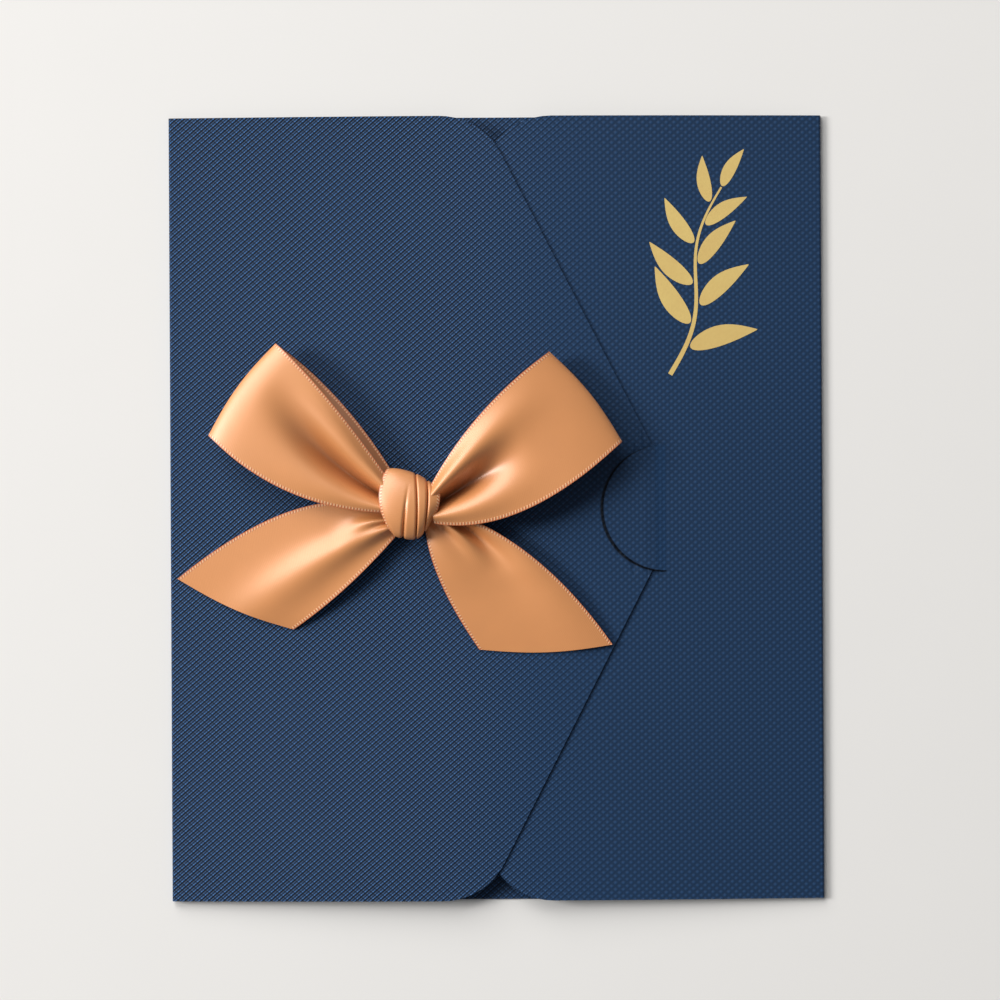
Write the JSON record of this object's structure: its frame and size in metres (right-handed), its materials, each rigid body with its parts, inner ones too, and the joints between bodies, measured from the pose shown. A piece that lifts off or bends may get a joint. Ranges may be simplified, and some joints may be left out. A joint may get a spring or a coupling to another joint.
{
  "type": "invitation card",
  "caption": "Closed gatefold invitation card of embossed navy board, held shut by a tucked nose under a half-round tongue, with a tied satin ribbon bow.",
  "frame": {"origin": "under the middle of the card's back panel", "axes": "+X across the card towards the tongue's flap, +Y up the card, +Z out of its front"},
  "size_m": [0.15, 0.18, 0.0128],
  "materials": {
    "navy_board": "embossed with a fine diamond lattice, matt",
    "ivory_paper": "smooth uncoated",
    "copper_satin": "satin weave, glossy face",
    "clear_glue": "clear adhesive",
    "gold_foil": "hot-stamped foil"
  },
  "bodies": {
    "root": {"cover_card": "navy_board", "inner_sheet": "ivory_paper", "ribbon_bow": "copper_satin", "glue_dot": "clear_glue"}
  },
  "joints": []
}
